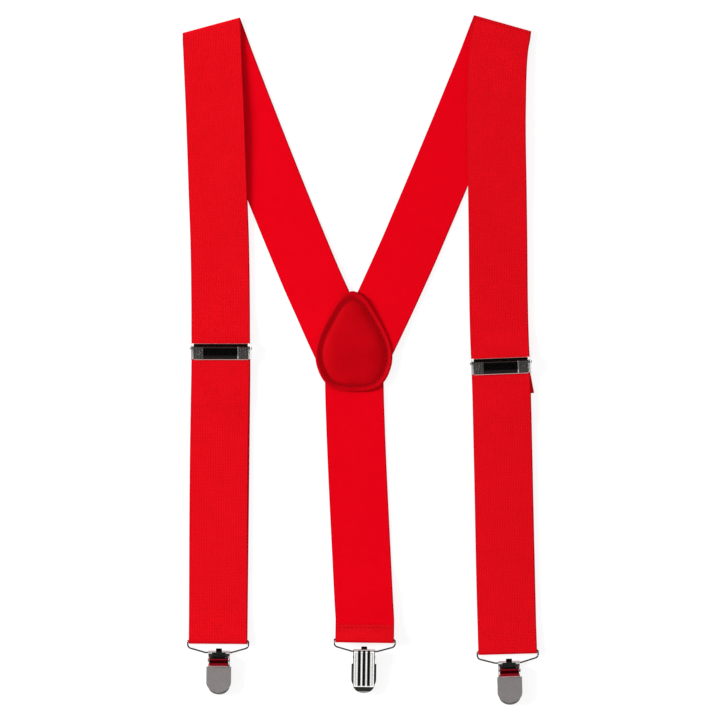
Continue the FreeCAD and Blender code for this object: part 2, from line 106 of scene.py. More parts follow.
# ------------------------------------------------------------------ materials
class Nodes:
    """Small helper round a material's node tree."""

    def __init__(self, name):
        self.mat = bpy.data.materials.new(name)
        self.mat.use_nodes = True
        self.tree = self.mat.node_tree
        self.bsdf = self.tree.nodes["Principled BSDF"]

    def node(self, kind, **props):
        n = self.tree.nodes.new(kind)
        for key, value in props.items():
            setattr(n, key, value)
        return n

    def link(self, out, into):
        self.tree.links.new(out, into)

    def math(self, op, a, b=None, c=None):
        n = self.node("ShaderNodeMath", operation=op)
        for i, value in enumerate((a, b, c)):
            if value is None:
                continue
            if isinstance(value, (int, float)):
                n.inputs[i].default_value = value
            else:
                self.link(value, n.inputs[i])
        return n.outputs[0]

    def ramp(self, fac, stops):
        n = self.node("ShaderNodeValToRGB")
        ramp = n.color_ramp
        while len(ramp.elements) < len(stops):
            ramp.elements.new(0.5)
        for element, (pos, colour) in zip(ramp.elements, stops):
            element.position = pos
            element.color = (*colour, 1)
        self.link(fac, n.inputs[0])
        return n.outputs[0]

    def noise(self, scale, detail=4, rough=0.5, vector=None):
        n = self.node("ShaderNodeTexNoise")
        n.inputs["Scale"].default_value = scale
        n.inputs["Detail"].default_value = detail
        n.inputs["Roughness"].default_value = rough
        if vector is None:
            coord = self.node("ShaderNodeTexCoord")
            vector = coord.outputs["Object"]
        self.link(vector, n.inputs["Vector"])
        return n.outputs["Fac"]

    def bump(self, height, distance, strength=1.0, normal=None):
        n = self.node("ShaderNodeBump")
        n.inputs["Distance"].default_value = distance
        n.inputs["Strength"].default_value = strength
        self.link(height, n.inputs["Height"])
        if normal is not None:
            self.link(normal, n.inputs["Normal"])
        return n.outputs["Normal"]

    def set(self, **values):
        for key, value in values.items():
            name = key.replace("_", " ")
            if isinstance(value, tuple):
                value = (*value, 1)
            self.bsdf.inputs[name].default_value = value


PARITY_OFFSET = 4000       # keeps thread counts positive, so that odd and even are told apart
EDGE_SHADE_START = 0.0165    # distance from the middle of the strap, in metres, where the painted edge shade begins
EDGE_SHADE_SLOPE = 1300
EDGE_SHADE_TINT = (0.62, 0.6, 0.9, 1)


def webbing(name, deep, light, warp, weft, relief, coarse):
    """Woven elastic: warp ribs along the strap crossed by weft picks, in a plain weave.

    warp and weft are the spacing of the threads and relief their height, in metres; coarse lifts the weft.
    """
    m = Nodes(name)
    coord = m.node("ShaderNodeTexCoord")
    split = m.node("ShaderNodeSeparateXYZ")
    m.link(coord.outputs["UV"], split.inputs[0])
    u = m.math("DIVIDE", split.outputs[0], warp)
    v = m.math("DIVIDE", split.outputs[1], weft)
    hump_u = m.math("SINE", m.math("MULTIPLY", m.math("FRACT", u), math.pi))
    hump_v = m.math("SINE", m.math("MULTIPLY", m.math("FRACT", v), math.pi))
    parity = m.math("MODULO", m.math("ADD", m.math("FLOOR", m.math("ADD", u, PARITY_OFFSET)),
                                     m.math("FLOOR", m.math("ADD", v, PARITY_OFFSET))), 2)
    over = m.math("MULTIPLY", hump_u, m.math("MULTIPLY_ADD", hump_v, 0.5, 0.5))
    under = m.math("MULTIPLY", hump_v, m.math("MULTIPLY_ADD", hump_u, 0.25, coarse))
    height = m.math("ADD", m.math("MULTIPLY", over, parity),
                    m.math("MULTIPLY", under, m.math("SUBTRACT", 1, parity)))
    fuzz = m.noise(9000, 3, 0.6)
    slub = m.noise(120, 3, 0.5)
    broad = m.noise(18, 2, 0.5)
    height2 = m.math("ADD", height, m.math("MULTIPLY", fuzz, 0.35))
    tone = m.math("ADD", m.math("MULTIPLY", height, 0.7),
                  m.math("ADD", m.math("MULTIPLY", slub, 0.25), m.math("MULTIPLY", broad, 0.2)))
    colour = m.ramp(tone, [(0.1, deep), (0.75, light)])
    # painted shade: the colour darkens towards each edge of the strap
    edge = m.math("SUBTRACT", m.math("ABSOLUTE", split.outputs[0]), EDGE_SHADE_START)
    edge_shade = m.math("MINIMUM", m.math("MAXIMUM", m.math("MULTIPLY", edge, EDGE_SHADE_SLOPE), 0), 1)
    mix = m.node("ShaderNodeMix", data_type="RGBA", blend_type="MULTIPLY")
    mix.inputs[7].default_value = EDGE_SHADE_TINT
    m.link(edge_shade, mix.inputs[0])
    m.link(colour, mix.inputs[6])
    m.link(mix.outputs[2], m.bsdf.inputs["Base Color"])
    m.link(m.bump(height2, relief), m.bsdf.inputs["Normal"])
    m.set(Roughness=0.85, Specular_IOR_Level=0.03)
    return m.mat


def leather(name, deep, light):
    """Fine-grained leather, with painted shade low in the seam groove and on the cut edge."""
    m = Nodes(name)
    cells = m.node("ShaderNodeTexVoronoi", feature="DISTANCE_TO_EDGE")
    cells.inputs["Scale"].default_value = 1500
    coord = m.node("ShaderNodeTexCoord")
    m.link(coord.outputs["Object"], cells.inputs["Vector"])
    crease = m.math("MINIMUM", m.math("MULTIPLY", cells.outputs["Distance"], 4.0), 1.0)
    pores = m.noise(5200, 4, 0.65)
    broad = m.noise(70, 3, 0.55)
    height = m.math("ADD", m.math("MULTIPLY", crease, 0.6), m.math("MULTIPLY", pores, 0.5))
    tone = m.math("ADD", m.math("MULTIPLY", crease, 0.2),
                  m.math("ADD", m.math("MULTIPLY", pores, 0.25), m.math("MULTIPLY", broad, 0.6)))
    split = m.node("ShaderNodeSeparateXYZ")
    m.link(coord.outputs["Object"], split.inputs[0])
    # painted shade: the colour is darkened below 3.9 mm up, low in the seam groove and on the cut edge
    seam = m.node("ShaderNodeMapRange", interpolation_type="SMOOTHSTEP")
    seam.inputs["From Min"].default_value = 0.0033
    seam.inputs["From Max"].default_value = 0.0039
    seam.inputs["To Min"].default_value = 0.62
    seam.inputs["To Max"].default_value = 1.0
    m.link(split.outputs[2], seam.inputs["Value"])
    seam_shaded = m.node("ShaderNodeMix", data_type="RGBA", blend_type="MULTIPLY")
    seam_shaded.inputs[0].default_value = 1
    m.link(m.ramp(tone, [(0.2, deep), (0.8, light)]), seam_shaded.inputs[6])
    m.link(seam.outputs[0], seam_shaded.inputs[7])
    m.link(seam_shaded.outputs[2], m.bsdf.inputs["Base Color"])
    m.link(m.bump(height, 0.00012, 0.6), m.bsdf.inputs["Normal"])
    m.set(Roughness=0.65, Specular_IOR_Level=0.02)
    return m.mat


def plastic(name, colour):
    """Moulded plastic, faintly mottled."""
    m = Nodes(name)
    tone = m.noise(400, 3, 0.5)
    dark = tuple(c * 0.85 for c in colour)
    m.link(m.ramp(tone, [(0.3, dark), (0.7, colour)]), m.bsdf.inputs["Base Color"])
    m.link(m.bump(m.noise(6000, 2, 0.5), 0.00003), m.bsdf.inputs["Normal"])
    m.set(Roughness=0.45)
    return m.mat


def thread(name, deep, light):
    """Twisted sewing thread."""
    m = Nodes(name)
    coord = m.node("ShaderNodeTexCoord")
    wave = m.node("ShaderNodeTexWave", wave_type="BANDS", bands_direction="DIAGONAL")
    wave.inputs["Scale"].default_value = 1600
    m.link(coord.outputs["Object"], wave.inputs["Vector"])
    m.link(m.ramp(wave.outputs["Fac"], [(0.2, deep), (0.8, light)]), m.bsdf.inputs["Base Color"])
    m.link(m.bump(wave.outputs["Fac"], 0.00008), m.bsdf.inputs["Normal"])
    m.set(Roughness=0.7, Specular_IOR_Level=0.05)
    return m.mat


OUTER = webbing("webbing_outer_face", deep=(0.58, 0.001, 0.004), light=(0.835, 0.004, 0.011),
                warp=0.00100, weft=0.00085, relief=0.00014, coarse=0.30)
INNER = webbing("webbing_inner_face", deep=(0.67, 0.0, 0.003), light=(0.825, 0.0, 0.009),
                warp=0.00060, weft=0.00050, relief=0.00007, coarse=0.45)
LEATHER = leather("patch_leather", (0.40, 0.0, 0.003), (0.60, 0.001, 0.006))
INSERT = plastic("jaw_insert_plastic", (0.16, 0.16, 0.155))
THREAD = thread("sewing_thread", (0.24, 0.0, 0.003), (0.38, 0.001, 0.005))


# ------------------------------------------------------------------ mesh helpers
MOST_SIDES = 8             # faces with more sides are end caps, which stay flat


def make(name, verts, faces, mats, picks=None, uvs=None):
    """Mesh object; picks holds each face's material index, uvs a place for each vertex."""
    mesh = bpy.data.meshes.new(name)
    mesh.from_pydata([tuple(v) for v in verts], [], faces)
    for m in mats:
        mesh.materials.append(m)
    if picks is not None:
        mesh.polygons.foreach_set("material_index", picks)
    mesh.polygons.foreach_set("use_smooth", [len(f) <= MOST_SIDES for f in faces])
    if uvs is not None:
        layer = mesh.uv_layers.new(name="UVMap")
        for loop in mesh.loops:
            layer.data[loop.index].uv = uvs[loop.vertex_index]
    mesh.update()
    obj = bpy.data.objects.new(name, mesh)
    bpy.context.scene.collection.objects.link(obj)
    return obj


def columns(width):
    """Distances across a strap, close together at its rounded edges."""
    edge = [0.0, 0.05, 0.14, 0.28, 0.5, 0.9, 1.6]
    inside = list(np.linspace(2.8, width - 2.8, 11))
    return edge + inside + [width - e for e in reversed(edge)]


EDGE_ROUNDING = 0.5


def band(name, frames):
    """Webbing along frames (point on the inner face, across, outward normal, width, distance along)."""
    verts, uvs, faces, picks = [], [], [], []
    count = len(columns(WEB_W))
    ring = 2 * count - 2
    for point, across, normal, width, along in frames:
        cols = columns(width)
        offsets = []
        for e in cols:
            near = min(e, width - e) / EDGE_ROUNDING
            half = WEB_T / 2 * math.sqrt(max(0, 1 - (1 - min(near, 1)) ** 2))
            offsets.append((e - width / 2, half))
        path = [(x, WEB_T / 2 + h) for x, h in offsets]
        path += [(x, WEB_T / 2 - h) for x, h in reversed(offsets[1:-1])]
        for x, h in path:
            verts.append(point + across * (x * MM) + normal * (h * MM))
            uvs.append((x * MM, along * MM))
    for r in range(len(frames) - 1):
        for c in range(ring):
            d = (c + 1) % ring
            faces.append((r * ring + c, r * ring + d, (r + 1) * ring + d, (r + 1) * ring + c))
            picks.append(0 if c < count - 1 else 1)
    last = (len(frames) - 1) * ring
    faces.append(tuple(range(ring))[::-1])
    faces.append(tuple(last + c for c in range(ring)))
    picks += [0, 0]
    obj = make(name, verts, faces, [OUTER, INNER], picks, uvs)
    fix_normals(obj)
    return obj


def fix_normals(obj):
    bm = bmesh.new()
    bm.from_mesh(obj.data)
    bmesh.ops.recalc_face_normals(bm, faces=bm.faces)
    bm.to_mesh(obj.data)
    bm.free()


def hermite(values, dists, s):
    """Smooth curve through values at dists."""
    values = np.asarray(values, float)
    dists = np.asarray(dists, float)
    slopes = np.gradient(values, dists)
    i = int(np.clip(np.searchsorted(dists, s, side="right") - 1, 0, len(dists) - 2))
    h = dists[i + 1] - dists[i]
    t = (s - dists[i]) / h
    a = 2 * t ** 3 - 3 * t ** 2 + 1
    b = t ** 3 - 2 * t ** 2 + t
    c = -2 * t ** 3 + 3 * t ** 2
    d = t ** 3 - t ** 2
    return a * values[i] + b * h * slopes[i] + c * values[i + 1] + d * h * slopes[i + 1]


def eased(values, dists, s):
    """Curve through values that stays between neighbours."""
    i = int(np.clip(np.searchsorted(dists, s, side="right") - 1, 0, len(dists) - 2))
    t = (s - dists[i]) / (dists[i + 1] - dists[i])
    t = min(max(t, 0), 1)
    t = t * t * (3 - 2 * t)
    return values[i] * (1 - t) + values[i + 1] * t


PUFF_LENGTH = 112


def flat_frames(stations, start, outer_up, first=WEB_W, step=1.0, wave=0.0, seed=0.0, puff=0.0):
    """Frames along flat webbing, and the distance along it at their end.

    first is the width at the first station, wave the height of gentle ripples, and puff that of the bulge
    just past the shoulder fold.
    """
    pts = np.array([s[:2] for s in stations])
    widths = [first] + [WEB_W] * (len(stations) - 1)
    dists = np.concatenate([[0], np.cumsum(np.linalg.norm(np.diff(pts, axis=0), axis=1))])
    total = dists[-1]
    n = max(2, int(round(total / step)) + 1)
    samples = []
    for i in range(n):
        s = total * i / (n - 1)
        x = hermite([a[0] for a in stations], dists, s)
        y = hermite([a[1] for a in stations], dists, s)
        z = eased([a[2] for a in stations], dists, s)
        tilt = math.radians(hermite([a[3] for a in stations], dists, s))
        width = eased(widths, dists, s)
        fade = math.sin(math.pi * s / total) ** 0.5 if 0 < s < total else 0
        z += wave * fade * (0.5 + 0.5 * noise.noise((s * 0.03 + seed, seed * 3.1, 0)))
        z += puff * math.sin(math.pi * min(s / PUFF_LENGTH, 1)) ** 1.3
        samples.append((x, y, z, tilt, width, s))
    frames = []
    for i, (x, y, z, tilt, width, s) in enumerate(samples):
        a = samples[max(i - 1, 0)]
        b = samples[min(i + 1, n - 1)]
        across = Vector((math.cos(tilt), math.sin(tilt), 0))
        along = Vector((b[0] - a[0], b[1] - a[1], b[2] - a[2])).normalized()
        up = across.cross(along)
        up = up if up.z > 0 else -up
        up.normalize()
        if outer_up:
            frames.append((lay(x, y, z), across, up, width, start + s))
        else:
            frames.append((lay(x, y, z) + up * (WEB_T * MM), across, -up, width, start + s))
    return frames, start + total


def turned_frames(path, placing, start, width=WEB_W):
    """Frames along a bent strip.

    path holds (y, z of the inner face, angle of the outward normal in degrees), and where the strip slips
    sideways also (shift in mm, lean in degrees).
    """
    x0, y0, tilt, z0 = placing
    a = math.radians(tilt)
    across = Vector((math.cos(a), math.sin(a), 0))
    ahead = Vector((-math.sin(a), math.cos(a), 0))
    frames = []
    s = start
    before = None
    for item in path:
        y, z, angle = item[:3]
        shift = item[3] if len(item) > 3 else 0
        lean = math.radians(item[4]) if len(item) > 4 else 0
        if before is not None:
            s += math.hypot(y - before[0], z - before[1])
        before = (y, z)
        point = lay(x0, y0, z0) + ahead * (y * MM) + across * (shift * MM) + Vector((0, 0, z * MM))
        rad = math.radians(angle)
        normal = ahead * math.cos(rad) + Vector((0, 0, math.sin(rad)))
        side = across * math.cos(lean) + ahead * math.sin(lean)
        frames.append((point, side, normal, width, s))
    return frames, s


def arc(cy, cz, radius, a0, a1, steps=18):
    """Path items round a bar, from angle a0 to a1 in degrees."""
    angles = [a0 + (a1 - a0) * i / steps for i in range(steps + 1)]
    return [(cy + radius * math.cos(math.radians(a)), cz + radius * math.sin(math.radians(a)), a)
            for a in angles]


# ------------------------------------------------------------------ webbing
# stations along each strap: (x, y, height of the underside, turn of the line across it)
Z_FOLD = 2 * FOLD_R + WEB_T
BACK = {
    "left": [(-88.0, 197.4, 0, 15.2), (-79.4, 175.0, 0, 21.0), (-43.2, 83.0, 0, 21.8),
             (-35.8, 65.0, 0.4, 22.5), (-27.8, 46.0, 1.0, 23.8), (-22.4, 34.0, 1.0, 24.5),
             (-15.3, 18.0, 2.05, 25.2), (-3.4, -7.0, 2.05, 25.5)],
    "right": [(84.3, 198.6, 0, -15.8), (74.8, 175.0, 0, -21.8), (36.6, 83.0, 0, -22.8),
              (28.9, 65.0, 0.4, -23.4), (20.3, 46.0, 1.0, -24.3), (14.8, 34.0, 1.0, -25.0),
              (7.2, 18.0, 2.05, -25.4), (-5.0, -7.5, 2.05, -25.6)],
}
UPPER = {
    "left": [(-88.0, 197.4, Z_FOLD, 15.2), (-87.5, 183.0, Z_FOLD, 2.4), (-86.0, 150.0, Z_FOLD, 2.0),
             (-84.0, 92.0, Z_FOLD, 1.2), (-83.3, 72.0, 1.6, 0.8), (-82.7, 30.0, 1.6, 0.0),
             (-82.6, 14.0, 3.3, 0.0), (-82.5, 5.0, 3.35, 0.0)],
    "right": [(84.3, 198.6, Z_FOLD, -15.8), (82.4, 184.0, Z_FOLD, -2.0), (81.0, 150.0, Z_FOLD, 0.0),
              (81.5, 100.0, Z_FOLD, 0.5), (81.8, 80.0, 1.6, 0.8), (82.5, 22.0, 1.6, 1.4),
              (83.0, 6.0, 3.3, 2.0), (83.5, -3.5, 3.35, 2.2)],
}
LOWER = {
    "left": [(-82.5, 5.0, 3.35, 0.0), (-82.6, -1.0, 3.35, 0.0), (-82.7, -8.0, 2.5, -0.2),
             (-82.95, -22.0, 2.45, -0.3), (-83.2, -34.0, 1.3, -0.4), (-84.1, -148.0, 1.3, -0.4),
             (-84.13, -156.5, 2.0, -0.4)],
    "right": [(83.5, -3.5, 3.35, 2.2), (83.7, -9.6, 3.35, 2.2), (83.9, -16.6, 2.5, 2.0),
              (84.3, -30.6, 2.45, 1.6), (84.6, -42.6, 1.3, 1.4), (87.05, -154.0, 1.3, 1.6),
              (87.32, -162.6, 2.0, 1.6)],
}
CENTRE = [(-3.6, 12.0, 0.93, 2.2), (-3.2, -22.0, 0.93, 2.4), (-2.6, -40.0, 0, 2.4), (1.0, -118.0, 0, 2.2),
          (2.3, -143.6, LIFT, 0.6), (2.9, -153.6, LIFT, -0.8)]

# legs of the loops round the bails: (y from the bail's axis, height of the inner face, outward angle)
LOOP_REACH = 10.0          # where the front straps' loops begin and end, up from the bail
FRONT_LEG = [(9, 2.04, 92), (8, 2.12, 94), (6, 2.35, 97), (3.4, 2.66, 96), (1.4, 2.86, 92)]
REAR_LEG = [(2, WEB_T, 270), (5, WEB_T, 270), (8, WEB_T, 270)]
HEM_REACH = 12.0           # where the centre strap's hem begins
HEM_UNDER = [(11, WEB_T, 270), (8, WEB_T, 270), (4, WEB_T, 270)]
HEM_OVER = [(1.0, 2.86, 85), (2.0, 2.6, 75), (3.2, 2.0, 68), (4.4, 1.45, 72), (5.5, 1.2, 84), (7.0, 1.2, 90),
            (9.0, 1.22, 90)]
TAIL_REACH = 14.0          # where the sewn tail begins, down from the adjuster
TAIL_LEAN = 3.0            # degrees that the slipped tail leans for each mm of slip
TAIL_BAR = (-1.5, 1.6)     # (y, z) of the adjuster's rear bar


def beyond(placing, distance):
    """Station at a distance up (+) or down (-) the strap from a placing."""
    x, y, turn = placing
    a = math.radians(turn)
    return x - distance * math.sin(a), y + distance * math.cos(a), 0, turn


def trim_at_patch(obj, sign):
    """Mitre the webbing where the two back straps meet under the patch."""
    gap = 0.0001
    lowest = -0.008
    bm = bmesh.new()
    bm.from_mesh(obj.data)
    for point, normal in (((lay(PATCH_X, 0, 0).x + sign * gap, 0, 0), (-sign, 0, 0)),
                          ((0, lowest + SHIFT.y, 0), (0, -1, 0))):
        geom = bm.verts[:] + bm.edges[:] + bm.faces[:]
        cut = bmesh.ops.bisect_plane(bm, geom=geom, plane_co=point, plane_no=normal, clear_outer=True)
        edges = [e for e in cut["geom_cut"] if isinstance(e, bmesh.types.BMEdge)]
        for face in bmesh.ops.edgenet_fill(bm, edges=edges)["faces"]:
            face.smooth = False
    bmesh.ops.recalc_face_normals(bm, faces=bm.faces)
    bm.to_mesh(obj.data)
    bm.free()


def back_strap(side, sign):
    """Back strap from the patch to the shoulder, inner face up; gives its length."""
    frames, total = flat_frames(BACK[side], 0.0, False, CREASE_W, wave=0.15, seed=2.0 + sign)
    frames = [(p, a, n, w, total - d) for p, a, n, w, d in reversed(frames)]
    obj = band("back_webbing_" + side, frames)
    trim_at_patch(obj, sign)
    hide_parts("back_strap_" + side)
    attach(obj, "back")
    return total


def shoulder_fold(side, s):
    """The crease at the shoulder; s is the distance along the webbing so far, here and below."""
    x, y, turn = CREASE[side]
    height = FOLD_R + WEB_T
    frames, s = turned_frames(arc(0, 0, FOLD_R, -90, 90), (x, y, turn, height), s, CREASE_W)
    obj = band("fold_webbing_" + side, frames)
    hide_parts("shoulder_fold_" + side)
    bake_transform(obj)
    return s


def front_upper(side, sign, s):
    """Front strap from the shoulder to the adjuster."""
    stations = UPPER[side]
    frames, end = flat_frames(stations, s, True, CREASE_W, wave=0.2, seed=7.0 + sign, puff=1.3)
    obj = band("front_webbing_upper_" + side, frames)
    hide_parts("front_strap_upper_" + side)
    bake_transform(obj)
    return end


def front_lower(side, s):
    """Front strap from the adjuster down, round the bail and back up behind."""
    bail = END_LOOP[side]
    down, end = flat_frames(LOWER[side], s, True)
    path = FRONT_LEG + arc(0, LOOP_Z, LOOP_R, 90, 270) + REAR_LEG
    loop, end = turned_frames(path, (*bail, 0), end + LOOP_REACH - path[0][0])
    stations = [beyond(bail, LOOP_REACH), beyond(ADJUSTER[side], -TAIL_REACH)]
    up, end = flat_frames(stations, end + LOOP_REACH - path[-1][0], False, step=1.5)
    obj = band("front_webbing_lower_" + side, down + loop + up)
    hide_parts("front_strap_lower_" + side, "strap_end_loop_" + side, "return_layer_" + side)
    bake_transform(obj)
    return end


def sewn_tail(side, s):
    """The end of the webbing, sewn round the adjuster's rear bar."""
    shift = TAIL_SHIFT[side]
    lean = TAIL_LEAN * shift
    path = [(-TAIL_REACH, WEB_T, 270), (-9, WEB_T, 270), (-4, WEB_T, 270)] + arc(*TAIL_BAR, BAR_R, -90, 90, 14)
    path += [(-2.2, 2.08, 86), (-3.6, 1.9, 83), (-5.0, 1.7, 82), (-7, 1.42, 83, 0.15 * shift, 0.3 * lean),
             (-9, 1.2, 87, 0.3 * shift, 0.6 * lean), (-12, 1.16, 90, 0.5 * shift, 0.8 * lean),
             (-15.5, 1.15, 90, 0.78 * shift, 0.95 * lean), (-18.5, 1.15, 90, shift, lean)]
    frames, end = turned_frames(path, (*ADJUSTER[side], 0), s)
    obj = band("sewn_tail_webbing_" + side, frames)
    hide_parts("sewn_tail_" + side)
    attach(obj, "adjuster_" + side)


def centre_webbing():
    """Centre strap from the patch to its hem round the bail, inner face up."""
    strap, s = flat_frames(CENTRE, 0.0, False, wave=0.1, seed=4.4)
    path = HEM_UNDER + arc(0, LOOP_Z, LOOP_R, 270, 90) + HEM_OVER
    hem, s = turned_frames(path, (*END_LOOP["centre"], LIFT), s + HEM_REACH - path[0][0])
    obj = band("centre_webbing", strap + hem)
    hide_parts("centre_strap", "centre_strap_hem")
    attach(obj, "back")


STITCH_ROWS = 7            # rings along a stitch, and points round it
STITCH_SIDES = 8
STITCH_DIP = 0.16          # how far a stitch's ends sink into the cloth


def stitches(name, runs, node, body, radius=0.2):
    """Thread dashes; runs holds each one's two ends in layout mm, just proud of the cloth."""
    verts, faces = [], []
    for a, b in runs:
        a, b = Vector(a), Vector(b)
        d = (b - a).normalized()
        side = d.cross(Vector((0, 0, 1))).normalized()
        up = side.cross(d).normalized()
        length = (b - a).length
        base = len(verts)
        for r in range(STITCH_ROWS):
            t = r / (STITCH_ROWS - 1)
            swell = math.sin(math.pi * min(max(t, 0.04), 0.96)) ** 0.35
            dip = -STITCH_DIP * (1 - math.sin(math.pi * t))
            for k in range(STITCH_SIDES):
                ang = 2 * math.pi * k / STITCH_SIDES
                p = a + d * (length * t) + side * (radius * swell * math.cos(ang))
                p += up * (radius * 0.7 * swell * math.sin(ang) + dip)
                verts.append(lay(*p))
        for r in range(STITCH_ROWS - 1):
            row = base + r * STITCH_SIDES
            for k in range(STITCH_SIDES):
                n = (k + 1) % STITCH_SIDES
                faces.append((row + k, row + n, row + STITCH_SIDES + n, row + STITCH_SIDES + k))
        last = base + (STITCH_ROWS - 1) * STITCH_SIDES
        faces.append(tuple(base + k for k in range(STITCH_SIDES))[::-1])
        faces.append(tuple(last + k for k in range(STITCH_SIDES)))
    obj = make(name, verts, faces, [THREAD])
    fix_normals(obj)
    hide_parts(node)
    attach(obj, body)


def local_point(placing, x, y, z):
    x0, y0, tilt, z0 = placing
    a = math.radians(tilt)
    return (x0 + x * math.cos(a) - y * math.sin(a), y0 + x * math.sin(a) + y * math.cos(a), z0 + z)


STITCH = 1.8               # length of a stitch in the webbing


def stitch_row(placing, count, first, pitch, y, z):
    """Ends of a row of stitches across a strap, in the axes of its placing."""
    starts = [first + pitch * i for i in range(count)]
    return [(local_point(placing, x, y, z), local_point(placing, x + STITCH, y, z)) for x in starts]


def sewing():
    runs = stitch_row((*END_LOOP["centre"], LIFT), 13, -15.9, 2.5, 7.0, 2.36)
    stitches("centre_hem_thread", runs, "centre_hem_stitching", "back")
    for side in SIDES:
        first = -16.0 + 0.5 * TAIL_SHIFT[side]
        runs = []
        for y in (-10.5, -12.5):
            runs += stitch_row((*ADJUSTER[side], 0), 12, first, 2.75, y, 2.3)
        stitches("tail_thread_" + side, runs, "tail_stitching_" + side, "adjuster_" + side, 0.14)


for side, sign in (("left", -1), ("right", 1)):
    along = back_strap(side, sign)
    along = shoulder_fold(side, along)
    along = front_upper(side, sign, along)
    along = front_lower(side, along)
    sewn_tail(side, along)
centre_webbing()
sewing()


# ------------------------------------------------------------------ back patch
OUTLINE_FINE = 20          # steps of the curve between two given points
INSET_MIX = 8.0            # inset from which a ring is wholly a smaller likeness of the outline


def patch_outline(count=120):
    """Teardrop outline as evenly spaced points, on a smooth curve through PATCH."""
    pts = [(0.0, PATCH_TOP)] + [(w, y) for y, w in PATCH] + [(0.0, PATCH_BOTTOM)]
    pts += [(-w, y) for y, w in reversed(PATCH)]
    pts = np.array(pts)
    n = len(pts)
    dense = []
    for i in range(n):
        p0, p1, p2, p3 = pts[i - 1], pts[i], pts[(i + 1) % n], pts[(i + 2) % n]
        for k in range(OUTLINE_FINE):
            t = k / OUTLINE_FINE
            dense.append(0.5 * (2 * p1 + (p2 - p0) * t + (2 * p0 - 5 * p1 + 4 * p2 - p3) * t ** 2
                                + (3 * p1 - p0 - 3 * p2 + p3) * t ** 3))
    dense = np.array(dense + [dense[0]])
    d = np.concatenate([[0], np.cumsum(np.linalg.norm(np.diff(dense, axis=0), axis=1))])
    want = np.linspace(0, d[-1], count, endpoint=False)
    return np.column_stack([np.interp(want, d, dense[:, 0]), np.interp(want, d, dense[:, 1])])


def inset_ring(outline, distance):
    """Outline moved inwards, pulled to a smaller likeness of itself deep inside."""
    centre = np.array([0.0, PATCH_MIDDLE])
    nxt = np.roll(outline, -1, axis=0)
    prv = np.roll(outline, 1, axis=0)
    tangent = nxt - prv
    tangent /= np.linalg.norm(tangent, axis=1)[:, None]
    inward = np.column_stack([tangent[:, 1], -tangent[:, 0]])
    inward *= np.sign(np.sum(inward * (centre - outline), axis=1))[:, None]
    near = outline + inward * distance
    scaled = centre + (outline - centre) * (1 - distance / PATCH_HALF)
    mix = min(distance / INSET_MIX, 1.0)
    return near * (1 - mix) + scaled * mix


def on_patch(x, y, z):
    """Place in layout mm from a place in the teardrop's own upright axes."""
    return PATCH_X + x + PATCH_LEAN * y, y, z


def patch(name, rings, nodes):
    """Closed leather piece from rings (inset, z) running out over the face and back in underneath."""
    outline = patch_outline()
    n = len(outline)
    verts, faces, uvs = [], [], []

    def add(x, y, z):
        verts.append(lay(*on_patch(x, y, z(x, y) if callable(z) else z)))
        uvs.append((x * MM, y * MM))

    for inset, z in rings:
        for x, y in inset_ring(outline, inset):
            add(x, y, z)
    for r in range(len(rings) - 1):
        for k in range(n):
            m = (k + 1) % n
            faces.append((r * n + k, r * n + m, (r + 1) * n + m, (r + 1) * n + k))
    for r in (0, len(rings) - 1):
        add(0, PATCH_MIDDLE, rings[r][1])
        middle = len(verts) - 1
        for k in range(n):
            faces.append((r * n + k, r * n + (k + 1) % n, middle))
    obj = make(name, verts, faces, [LEATHER], None, uvs)
    fix_normals(obj)
    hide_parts(*nodes)
    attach(obj, "back")
    return obj


def crown(base, swell=0.12):
    """Height of the padded face, with slow swellings."""
    def z(x, y):
        return base + swell * noise.noise((x * 0.09, y * 0.09, base * 2))
    return z


TOP_RINGS = [
    (20.5, crown(5.45)), (17.5, crown(5.42)), (14.5, crown(5.34)), (11.5, crown(5.2)), (9.5, crown(5.02)),
    (8.0, crown(4.80)), (6.8, crown(4.52, 0.06)), (5.9, crown(4.22, 0.04)), (5.2, crown(3.92, 0.02)),
    (4.7, 3.70), (4.2, 3.55), (3.6, 3.48), (3.0, 3.50), (2.4, 3.62), (1.9, 3.82), (1.4, 4.02), (0.95, 4.12),
    (0.5, 4.06), (0.2, 3.88), (0.0, 3.6), (0.12, 3.34), (0.5, 3.22), (6.0, 3.2), (14.0, 3.2), (20.5, 3.2)]
UNDER_RINGS = [
    (20.5, 0.9), (12.0, 0.9), (5.0, 0.9), (0.6, 0.88), (0.2, 0.78), (0.0, 0.5), (0.2, 0.16), (0.6, 0.03),
    (3.0, 0.0), (3.4, 0.06), (3.8, 0.0), (12.0, 0.0), (20.5, 0.0)]
THREAD_INSET = 3.5
THREAD_Z = 3.56
THREAD_PITCH = 3.0
THREAD_SHARE = 0.72        # share of the pitch that the stitch covers

patch("inner_patch_leather", TOP_RINGS, ("patch_inner", "patch_padding"))
patch("outer_patch_leather", UNDER_RINGS, ("patch_outer",))


def patch_thread():
    """Stitches all round the seam groove."""
    outline = inset_ring(patch_outline(400), THREAD_INSET)
    loop = np.vstack([outline, outline[:1]])
    d = np.concatenate([[0], np.cumsum(np.linalg.norm(np.diff(loop, axis=0), axis=1))])
    count = int(d[-1] / THREAD_PITCH)

    def place(s):
        return on_patch(np.interp(s, d, loop[:, 0]), np.interp(s, d, loop[:, 1]), THREAD_Z)

    runs = []
    for i in range(count):
        start = d[-1] * i / count
        runs.append((place(start), place(start + d[-1] / count * THREAD_SHARE)))
    stitches("patch_thread", runs, "patch_stitching", "back", 0.18)


patch_thread()


